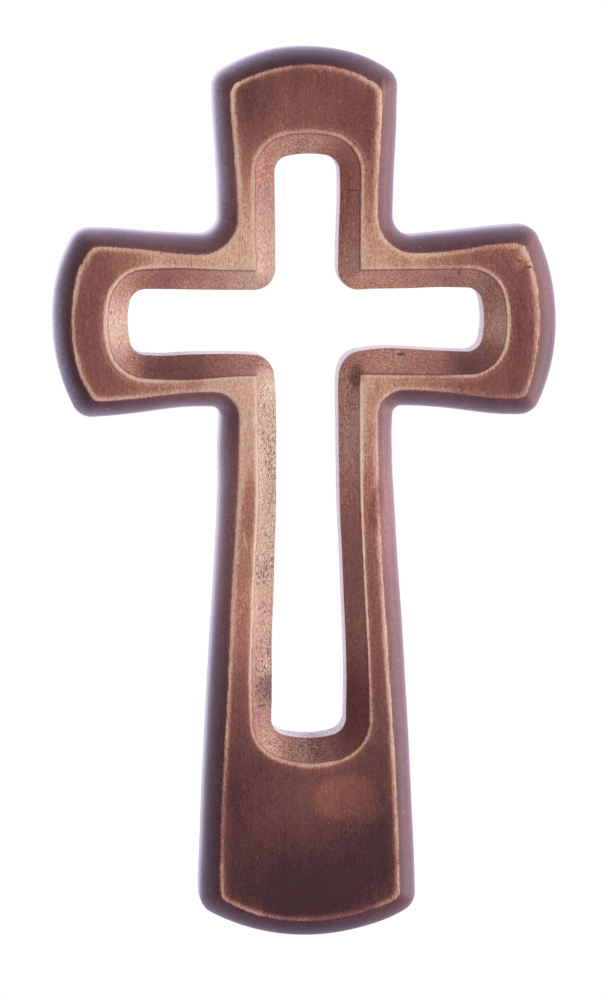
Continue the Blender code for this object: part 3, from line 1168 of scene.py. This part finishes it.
class EffectShelf:
    """The shared effects, each one node group built once; scales are cells in a metre."""

    grains: dict[str, tuple[Colour, float]] = {
        "Grit": ((2700.0, 2700.0, 1500.0), 0.0), "Streaks": ((2500.0, 2500.0, 260.0), 5.0),
        "Bands": ((190.0, 190.0, 14.0), 9.0)}
    warp_scale: Colour = (60.0, 60.0, 25.0)
    warp: float = 3.0 * MM
    spot_scale: Colour = (2800.0, 2800.0, 1300.0)
    clump_scale: Colour = (210.0, 210.0, 90.0)
    comb_scale: Colour = (2300.0, 2300.0, 420.0)
    slow_scale: Colour = (150.0, 150.0, 110.0)
    ragged_scale: Colour = (2300.0, 2300.0, 1100.0)
    coarse: float = 0.6

    def __init__(self) -> None:
        """Builds the groups."""
        self.grain = self.build_grain()
        self.flecks = self.build_flecks()
        self.worn_line = self.build_worn_line()
        self.dust = self.build_dust()
        self.mark = self.build_mark()

    def build_grain(self) -> bpy.types.NodeTree:
        """Fibre along Z: grit, fine streaks and broad bands, each noise about zero.

        The places are first bent along X by slow noise.

        Returns:
            The group.
        """
        s, plug, leave = new_group("grain", {"Place": None}, tuple(self.grains))
        bend = (s.noise(plug["Place"], self.warp_scale, detail=1.0) - 0.5) * self.warp
        bent = s.value("VectorMath", {0: plug["Place"], 1: s.value("CombineXYZ", {0: bend})},
                       operation="ADD")
        for label, (scale, shift) in self.grains.items():
            s.feed(leave[label], s.noise(bent, scale, shift, roughness=self.coarse) - 0.5)
        return s.tree

    def build_flecks(self) -> bpy.types.NodeTree:
        """Short dark flecks along the fibre, where noise passes a level.

        level = 0.80 - amount * (0.55 + clumps), with clumps a slow noise.

        Returns:
            The group.
        """
        s, plug, leave = new_group("flecks", {"Place": None, "Amount": 0.3})
        spots = s.noise(plug["Place"], self.spot_scale, roughness=self.coarse)
        clumps = s.noise(plug["Place"], self.clump_scale, 4.0, detail=1.0)
        level = 0.80 - plug["Amount"] * (0.55 + clumps)
        softness = 0.04
        s.feed(leave["Mask"], s.fade(spots, level, level + softness))
        return s.tree

    def build_worn_line(self) -> bpy.types.NodeTree:
        """A band about a run of zero: crisp on one side, soft on the other, broken up.

        The run is shaken by fine noise and by 0.6 of slow noise. The soft side is three
        parts of a short fade and one of a long one, and both noises together break it.

        Returns:
            The group.
        """
        s, plug, leave = new_group(
            "worn_line", {"Place": None, "Run": 0.0, "Crisp Side": -0.2, "Soft Side": 0.8,
                          "Strength": 1.0, "Raggedness": 0.5})
        comb = s.noise(plug["Place"], self.comb_scale, roughness=self.coarse)
        slow = s.noise(plug["Place"], self.slow_scale)
        shake = ((slow - 0.5) * 0.6 + (comb - 0.5)) * plug["Raggedness"]
        run = plug["Run"] + shake
        crisp_width, short, long = 0.35, 0.1, 2.4
        crisp = s.fade(run, plug["Crisp Side"], plug["Crisp Side"] + crisp_width)
        soft_end = plug["Soft Side"] * (0.45 + slow)
        soft = (s.fade(run, soft_end * short, soft_end, 0.75, 0.0)
                + s.fade(run, 0.0, soft_end * long, 0.25, 0.0))
        broken = s.fade(comb * 0.6 + slow * 0.4, 0.36, 0.50, 0.70, 1.0)
        mask = s.math("MULTIPLY", crisp * soft, broken * plug["Strength"], clamp=True)
        s.feed(leave["Mask"], mask)
        return s.tree

    def build_dust(self) -> bpy.types.NodeTree:
        """Sparse pale specks: discs in the middles of a few random cells.

        Returns:
            The group.
        """
        s, plug, leave = new_group("dust", {"Place": None, "Amount": 0.1, "Size": 0.12,
                                            "Fineness": 800.0})
        cells = s.node("TexVoronoi", {"Vector": plug["Place"], "Scale": plug["Fineness"]})
        colour = s.node("SeparateColor", {0: Value(s, cells.outputs["Color"])})
        chance, growth = Value(s, colour.outputs[0]), Value(s, colour.outputs[1])
        chosen = s.math("LESS_THAN", chance, plug["Amount"])
        disc = s.math("LESS_THAN", Value(s, cells.outputs["Distance"]),
                      plug["Size"] * (0.4 + growth))
        s.feed(leave["Mask"], chosen * disc)
        return s.tree

    def build_mark(self) -> bpy.types.NodeTree:
        """One soft-edged oval on the front, turned by an angle and roughened by noise.

        away = sqrt((u / half length) ** 2 + (v / half width) ** 2), with u and v along
        and across the oval in millimetres.

        Returns:
            The group.
        """
        s, plug, leave = new_group(
            "mark", {"Place": None, "X": 0.0, "Z": 0.0, "Angle": 0.0, "Half Length": 1.0,
                     "Half Width": 1.0, "Softness": 0.3, "Raggedness": 0.4})
        x, _, z = s.split(plug["Place"])
        dx, dz = x * (1 / MM) - plug["X"], z * (1 / MM) - plug["Z"]
        cosine, sine = s.math("COSINE", plug["Angle"]), s.math("SINE", plug["Angle"])
        u = (dx * cosine + dz * sine) / plug["Half Length"]
        v = (dz * cosine - dx * sine) / plug["Half Width"]
        ragged = (s.noise(plug["Place"], self.ragged_scale) - 0.5) * plug["Raggedness"]
        away = s.math("SQRT", u * u + v * v) + ragged
        s.feed(leave["Mask"], s.fade(away, 1.0 - plug["Softness"], 1.0 + plug["Softness"],
                                     1.0, 0.0))
        return s.tree


@dataclass(frozen=True)
class Surface:
    """What the finish reads from the piece: its place, its runs and where they hold."""

    sketch: Sketch
    shelf: EffectShelf
    place: Value
    height: Value
    lip_run: Value
    arris_run: Value
    rightward: Value
    front: Value
    plain: Value
    in_cove: Value
    grain: dict[str, Value]

    def effect(self, group: bpy.types.NodeTree, **inputs: Plug) -> Value:
        """The mask of a shared effect at this surface's places."""
        return self.sketch.effect(group, place=self.place, **inputs)["Mask"]


@dataclass(frozen=True)
class StainedWood:
    """A reddish brown stain over pale wood, rubbed through along the edges, with painted sheen.

    Depths are in metres, runs and line places in millimetres, and pairs are the two ends
    of a fade.
    """

    stain: tuple[tuple[float, Colour], ...] = (
        (0.00, (0.050, 0.0145, 0.0185)), (0.15, (0.085, 0.026, 0.027)),
        (0.35, (0.133, 0.045, 0.042)), (0.55, (0.205, 0.075, 0.064)),
        (0.65, (0.255, 0.097, 0.077)), (0.75, (0.326, 0.130, 0.093)),
        (0.85, (0.406, 0.179, 0.115)), (0.95, (0.503, 0.277, 0.187)),
        (1.05, (0.588, 0.359, 0.248)), (1.30, (0.820, 0.600, 0.450)))
    rubbed: Colour = (0.640, 0.470, 0.420)
    pore: Colour = (0.120, 0.040, 0.032)
    dust: Colour = (0.80, 0.76, 0.74)
    # Pale haze colours, partly painted sheen: tan in the coves lit from the right, mauve where
    # faint, near white on the opening's walls, and a painted lavender reflection of the backlight
    # on the outer edge, mauve where it faces right
    haze_and_sheen: Colour = (0.90, 0.81, 0.63)
    faint_haze_and_sheen: Colour = (0.70, 0.50, 0.62)
    wall_haze_and_sheen: Colour = (0.92, 0.84, 0.78)
    edge_haze_and_sheen: Colour = (0.60, 0.55, 0.72)
    right_haze_and_sheen: Colour = (0.58, 0.44, 0.50)
    # Tints of painted light: a lavender reflection on the outer edge, a sheen on the coves and a
    # purpler cast on the shaded coves
    edge_reflection_tint: Colour = (1.02, 1.16, 1.48)
    cove_sheen_tint: Colour = (1.0, 1.06, 1.11)
    shaded_cove_tint: Colour = (0.98, 0.93, 1.00)
    warm_tint: Colour = (1.00, 0.95, 0.84)
    front_fade: tuple[float, float] = (-8.5 * MM, -6.5 * MM)
    plain_fade: tuple[float, float] = (-1.0 * MM, -0.2 * MM)
    cove_fade: tuple[float, float] = (4.75, 4.55)
    lip_place: float = 5.2
    quirk_place: float = 4.84
    recut_place: float = 6.6
    back_tone: float = 0.38
    grit: float = 0.70
    cove_grit: float = 0.35
    streaks: float = 0.36
    bands: float = 0.28
    edge_fade: tuple[float, float] = (0.0, 0.8)
    right_untinted: float = 0.7
    rubbed_tones: tuple[float, float] = (0.5, 1.1)
    rubbed_share: float = 0.30
    recut_share: float = 0.6
    fleck_share: float = 0.85
    dust_fade: tuple[float, float] = (0.8, 4.2)
    dust_amounts: tuple[float, float] = (0.003, 0.09)
    dust_share: float = 0.45
    tan_haze_and_sheen: tuple[float, float] = (0.05, 0.25)
    raw_haze_and_sheen: tuple[float, float] = (0.5, 0.8)
    arris_fade: tuple[float, float] = (-1.0, 0.0)
    specks: float = 2.5
    speckless: float = 0.75
    relief: float = 0.02
    fleck_relief: float = -0.04
    roughness: float = 0.42
    grit_roughness: float = 0.3
    varnish_fade: tuple[float, float] = (0.6, 3.4)
    varnish: float = 0.10
    edge_varnish: float = 0.90
    right_dulling: float = 0.5
    foot_varnish: float = 0.35
    foot_fade: tuple[float, float] = (-0.208, -0.198)
    varnish_roughness: float = 0.32
    sheen: float = 0.25

    def material(self, shelf: EffectShelf, crossing_z: float) -> bpy.types.Material:
        """The whole finish of the cross.

        Args:
            shelf: the shared effects.
            crossing_z: height of the middle of the crossing.

        Returns:
            The material.
        """
        material = bpy.data.materials.new("stained_wood")
        material.use_nodes = True
        s = Sketch(material.node_tree)
        shader = material.node_tree.nodes["Principled BSDF"]
        on = self.surface(s, shelf)
        flecks = on.effect(shelf.flecks, amount=s.attribute(Attribute.FLECKS)) * on.in_cove
        colour = self.stained(on, crossing_z)
        colour = self.with_haze_and_sheen(on, self.lined(on, colour))
        colour = s.mix(flecks * self.fleck_share, colour, self.pore)
        dust = on.effect(shelf.dust, fineness=1900.0, size=0.20,
                         amount=s.fade(on.arris_run, *self.dust_fade, *self.dust_amounts))
        colour = s.mix(dust * self.dust_share, colour, self.dust)
        grit = on.grain["Grit"]
        relief = (grit + on.grain["Streaks"]) * self.relief + flecks * self.fleck_relief
        bump = s.value("Bump", {"Height": relief, "Distance": 1.0 * MM, "Strength": 0.5})
        coat = (s.fade(on.arris_run, *self.varnish_fade, self.varnish, self.edge_varnish)
                * s.fade(on.height, *self.foot_fade, self.foot_varnish, 1.0) * on.plain
                * (1.0 - on.rightward * self.right_dulling))
        for label, value in (("Specular IOR Level", self.sheen),
                             ("Coat Roughness", self.varnish_roughness), ("Coat Weight", coat),
                             ("Base Color", colour), ("Normal", bump),
                             ("Roughness", self.roughness + grit * self.grit_roughness)):
            s.feed(shader.inputs[label], value)
        return material

    def surface(self, s: Sketch, shelf: EffectShelf) -> Surface:
        """Reads the piece's places and runs, and masks its front, its back and its cove.

        Args:
            s: the sketch of the material.
            shelf: the shared effects.

        Returns:
            What the other steps read.
        """
        place = s.value("TexCoord", {}, "Object")
        _, y, z = s.split(place)
        lip_run = s.attribute(Attribute.LIP_RUN)
        plain = s.fade(y, *self.plain_fade, 1.0, 0.0)
        return Surface(
            sketch=s, shelf=shelf, place=place, height=z, lip_run=lip_run,
            arris_run=s.attribute(Attribute.ARRIS_RUN),
            rightward=s.attribute(Attribute.RIGHTWARD),
            front=s.fade(y, *self.front_fade, 1.0, 0.0), plain=plain,
            in_cove=s.fade(lip_run, *self.cove_fade) * plain,
            grain=s.effect(shelf.grain, place=place))

    def stained(self, on: Surface, crossing_z: float) -> Value:
        """The stain with its grain and marks, lighter on the lip and arris, tinted by painted
        light.

        Args:
            on: what the finish reads.
            crossing_z: height of the middle of the crossing.

        Returns:
            The colour.
        """
        s, line = on.sketch, on.shelf.worn_line
        lip = on.effect(line, run=(on.lip_run - self.lip_place) / s.attribute(Attribute.LIP_SPAN),
                        crisp_side=-0.30, soft_side=1.25, strength=on.front * 1.2)
        arris = on.effect(line, run=on.arris_run * -1.0 / s.attribute(Attribute.ARRIS_SPAN),
                          crisp_side=-0.40, soft_side=1.25, strength=on.front)
        tone = s.toward(self.back_tone, s.attribute(Attribute.TONE), on.plain)
        tone = s.toward(tone, s.attribute(Attribute.LIP_TONE), lip)
        tone = s.toward(tone, s.attribute(Attribute.ARRIS_TONE), arris)
        tone = (tone + on.grain["Grit"] * (on.in_cove * self.cove_grit + 1.0) * self.grit
                + on.grain["Streaks"] * self.streaks + on.grain["Bands"] * self.bands)
        warm = 0.0
        for mark in MARKS:
            spot = on.front * on.effect(
                on.shelf.mark, x=mark.x, z=mark.z + crossing_z / MM,
                angle=math.radians(mark.angle), half_length=mark.half_length,
                half_width=mark.half_width, softness=mark.softness, raggedness=mark.raggedness)
            tone = tone + spot * mark.tone
            if mark.warmth:
                warm = warm + spot * mark.warmth
        colour = s.tinted(warm, s.ramp(tone, self.stain), self.warm_tint)
        worn = s.math("MAXIMUM", lip, arris) * s.fade(tone, *self.rubbed_tones)
        colour = s.mix(worn * self.rubbed_share, colour, self.rubbed)
        # Painted reflection: the outer edge is tinted lavender, as the bright backlight reflects
        # in it, less on edges that face right
        on_edge = (s.fade(on.arris_run, *self.edge_fade)
                   * (1.0 - on.rightward * self.right_untinted) * on.plain)
        colour = s.tinted(on_edge, colour, self.edge_reflection_tint)
        # Painted sheen on the coves: a paler, bluer cast, turned purpler on the coves beside
        # right-facing edges, which face away from the key light
        return s.tinted(on.in_cove, colour,
                        s.mix(on.rightward, self.cove_sheen_tint, self.shaded_cove_tint))

    def lined(self, on: Surface, colour: Value) -> Value:
        """Adds the dark fine line beside the cove and the pale second cut outside it.

        Args:
            on: what the finish reads.
            colour: the colour so far.

        Returns:
            The colour.
        """
        s, line = on.sketch, on.shelf.worn_line
        quirk = on.effect(line, run=on.lip_run - self.quirk_place, crisp_side=-0.3,
                          soft_side=0.30, raggedness=0.35,
                          strength=s.attribute(Attribute.QUIRK) * on.front)
        recut = on.effect(line, run=on.lip_run - self.recut_place, crisp_side=-0.2,
                          soft_side=0.25, strength=s.attribute(Attribute.RECUT))
        return s.mix(recut * on.front * self.recut_share, s.mix(quirk, colour, self.pore),
                     self.rubbed)

    def with_haze_and_sheen(self, on: Surface, colour: Value) -> Value:
        """Adds pale haze and painted sheen: mauve where faint, tan in the cove, pale on raw walls.

        Args:
            on: what the finish reads.
            colour: the colour so far.

        Returns:
            The colour.
        """
        s = on.sketch
        haze_and_sheen = s.attribute(Attribute.HAZE_AND_SHEEN) * on.plain
        pale = s.mix(s.fade(haze_and_sheen, *self.tan_haze_and_sheen), self.faint_haze_and_sheen, self.haze_and_sheen)
        pale = s.mix(s.fade(haze_and_sheen, *self.raw_haze_and_sheen), pale, self.wall_haze_and_sheen)
        # On the outer edge: a painted lavender reflection of the backlight, mauve where the edge
        # faces right
        pale = s.mix(s.fade(on.arris_run, *self.arris_fade), pale,
                     s.mix(on.rightward, self.edge_haze_and_sheen, self.right_haze_and_sheen))
        specks = on.effect(on.shelf.dust, amount=haze_and_sheen * self.specks, size=0.42,
                           fineness=2300.0)
        share = s.math("MULTIPLY", haze_and_sheen, specks + self.speckless, clamp=True)
        return s.mix(share, colour, pale)


# Room and camera


@dataclass(frozen=True)
class Studio:
    """Pale floor, soft light from the right and white all round."""

    floor_drop: float = 0.12
    floor_radius: float = 0.40
    floor_sides: int = 96
    floor_roughness: float = 0.9
    floor_colour: Colour = (0.86, 0.86, 0.87)
    key_bearing: float = math.radians(70.0)
    key_distance: float = 1.3
    key_rise: float = 0.12
    key_size: float = 1.4
    key_watts: float = 16.0
    ahead: float = 0.45
    around: float = 1.05
    behind: float = 1.10
    sideways: float = 0.62
    below: float = 0.15
    right_backlight: float = 0.1
    ahead_fade: tuple[float, float] = (-0.97, -0.55)
    behind_fade: tuple[float, float] = (0.2, 0.9)
    side_fade: tuple[float, float] = (-0.5, 0.5)
    height_fade: tuple[float, float] = (-0.35, 0.05)
    tint_fade: tuple[float, float] = (-0.6, 0.0)
    front_tint: Colour = (1.0, 0.965, 0.93)
    back_tint: Colour = (0.84, 0.80, 1.05)

    def floor(self, lowest: float) -> bpy.types.Object:
        """A round floor under the cross.

        Args:
            lowest: height of the lowest point of the cross.

        Returns:
            The floor.
        """
        turn = np.linspace(0.0, 2 * math.pi, self.floor_sides, endpoint=False)
        edge = np.stack((self.floor_radius * np.sin(turn), self.floor_radius * np.cos(turn),
                         np.full(len(turn), lowest - self.floor_drop)), axis=1)
        mesh = bpy.data.meshes.new("floor")
        mesh.from_pydata(edge[::-1].tolist(), [], [list(range(len(turn)))])
        floor = bpy.data.objects.new("floor", mesh)
        bpy.context.scene.collection.objects.link(floor)
        material = bpy.data.materials.new("floor_card")
        material.use_nodes = True
        shader = material.node_tree.nodes["Principled BSDF"]
        shader.inputs["Base Color"].default_value = (*self.floor_colour, 1.0)
        shader.inputs["Roughness"].default_value = self.floor_roughness
        mesh.materials.append(material)
        return floor

    def key(self, target: Vector) -> bpy.types.Object:
        """One large square light to the right and in front of the cross.

        Args:
            target: the point that it faces.

        Returns:
            The light.
        """
        light = bpy.data.lights.new("key", "AREA")
        light.size = self.key_size
        light.energy = self.key_watts
        lamp = bpy.data.objects.new("key", light)
        away = Vector((math.sin(self.key_bearing), -math.cos(self.key_bearing),
                       -self.key_rise))
        lamp.location = target + self.key_distance * away.normalized()
        lamp.rotation_euler = away.to_track_quat("Z", "Y").to_euler()
        bpy.context.scene.collection.objects.link(lamp)
        return lamp

    def sky(self) -> bpy.types.World:
        """White to the camera; to the wood, bright behind it and dimmer in front.

        Returns:
            The world.
        """
        world = bpy.data.worlds.new("white_room")
        world.use_nodes = True
        s = Sketch(world.node_tree)
        white = world.node_tree.nodes["Background"]
        s.feed(white.inputs[0], (1.0, 1.0, 1.0))
        x, y, z = s.split(s.value("TexCoord", {}, "Generated"))
        level = s.fade(y, *self.ahead_fade, self.ahead, self.around)
        level = level * (x * self.sideways + 1.0) - z * self.below
        level = level + (s.fade(y, *self.behind_fade, 0.0, self.behind)
                         * s.fade(x, *self.side_fade, 1.0, self.right_backlight)
                         * s.fade(z, *self.height_fade))
        tint = s.mix(s.fade(y, *self.tint_fade), self.front_tint, self.back_tint)
        glow = s.value("Background", {0: tint, 1: level})
        both = s.value("MixShader", {0: s.value("LightPath", {}, "Is Camera Ray"), 1: glow,
                                     2: Value(s, white.outputs[0])})
        s.feed(world.node_tree.nodes["World Output"].inputs[0], both)
        bpy.context.scene.world = world
        return world


@dataclass(frozen=True)
class Viewpoint:
    """The photograph's camera, fitted to the edges of the cross."""

    place: tuple[float, float, float] = (-0.10987, -1.37, 0.04474)
    aim: tuple[float, float, float] = (-0.00058, -0.008, -0.10029)
    roll: float = -0.00264
    lens_mm: float = 197.09
    film_mm: float = 36.0
    clip_start: float = 0.05

    def camera(self) -> bpy.types.Object:
        """Places the camera and makes it the scene's own.

        Returns:
            The camera.
        """
        data = bpy.data.cameras.new("viewpoint")
        data.lens = self.lens_mm
        data.sensor_width = self.film_mm
        data.clip_start = self.clip_start
        camera = bpy.data.objects.new("viewpoint", data)
        ahead = (Vector(self.aim) - Vector(self.place)).normalized()
        right = ahead.cross(Vector((0.0, 0.0, 1.0))).normalized()
        up = right.cross(ahead)
        turned = math.cos(self.roll) * right + math.sin(self.roll) * up
        axes = Matrix((turned, turned.cross(ahead), -ahead)).transposed()
        camera.matrix_world = Matrix.Translation(self.place) @ axes.to_4x4()
        bpy.context.scene.collection.objects.link(camera)
        bpy.context.scene.camera = camera
        return camera


def main() -> None:
    """Builds the camera, the cross and the room, and reports each piece."""
    logging.basicConfig(level=logging.INFO, format="%(name)s: %(message)s")
    bpy.context.scene.view_settings.view_transform = "Standard"
    Viewpoint().camera()
    shelf = EffectShelf()
    shape = CrossShape()
    cross = CarvedCross(shape).build()
    cross.data.materials.append(StainedWood().material(shelf, shape.crossing_z))
    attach(cross, "root")
    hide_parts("cross")
    LOG.info("%s: %d vertices, %d faces", cross.name, len(cross.data.vertices),
             len(cross.data.polygons))
    low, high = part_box("cross")
    studio = Studio()
    floor = studio.floor(low.z)
    studio.key((low + high) / 2)
    studio.sky()
    LOG.info("%s: radius %.2f m", floor.name, studio.floor_radius)


if __name__ == "__main__":
    main()
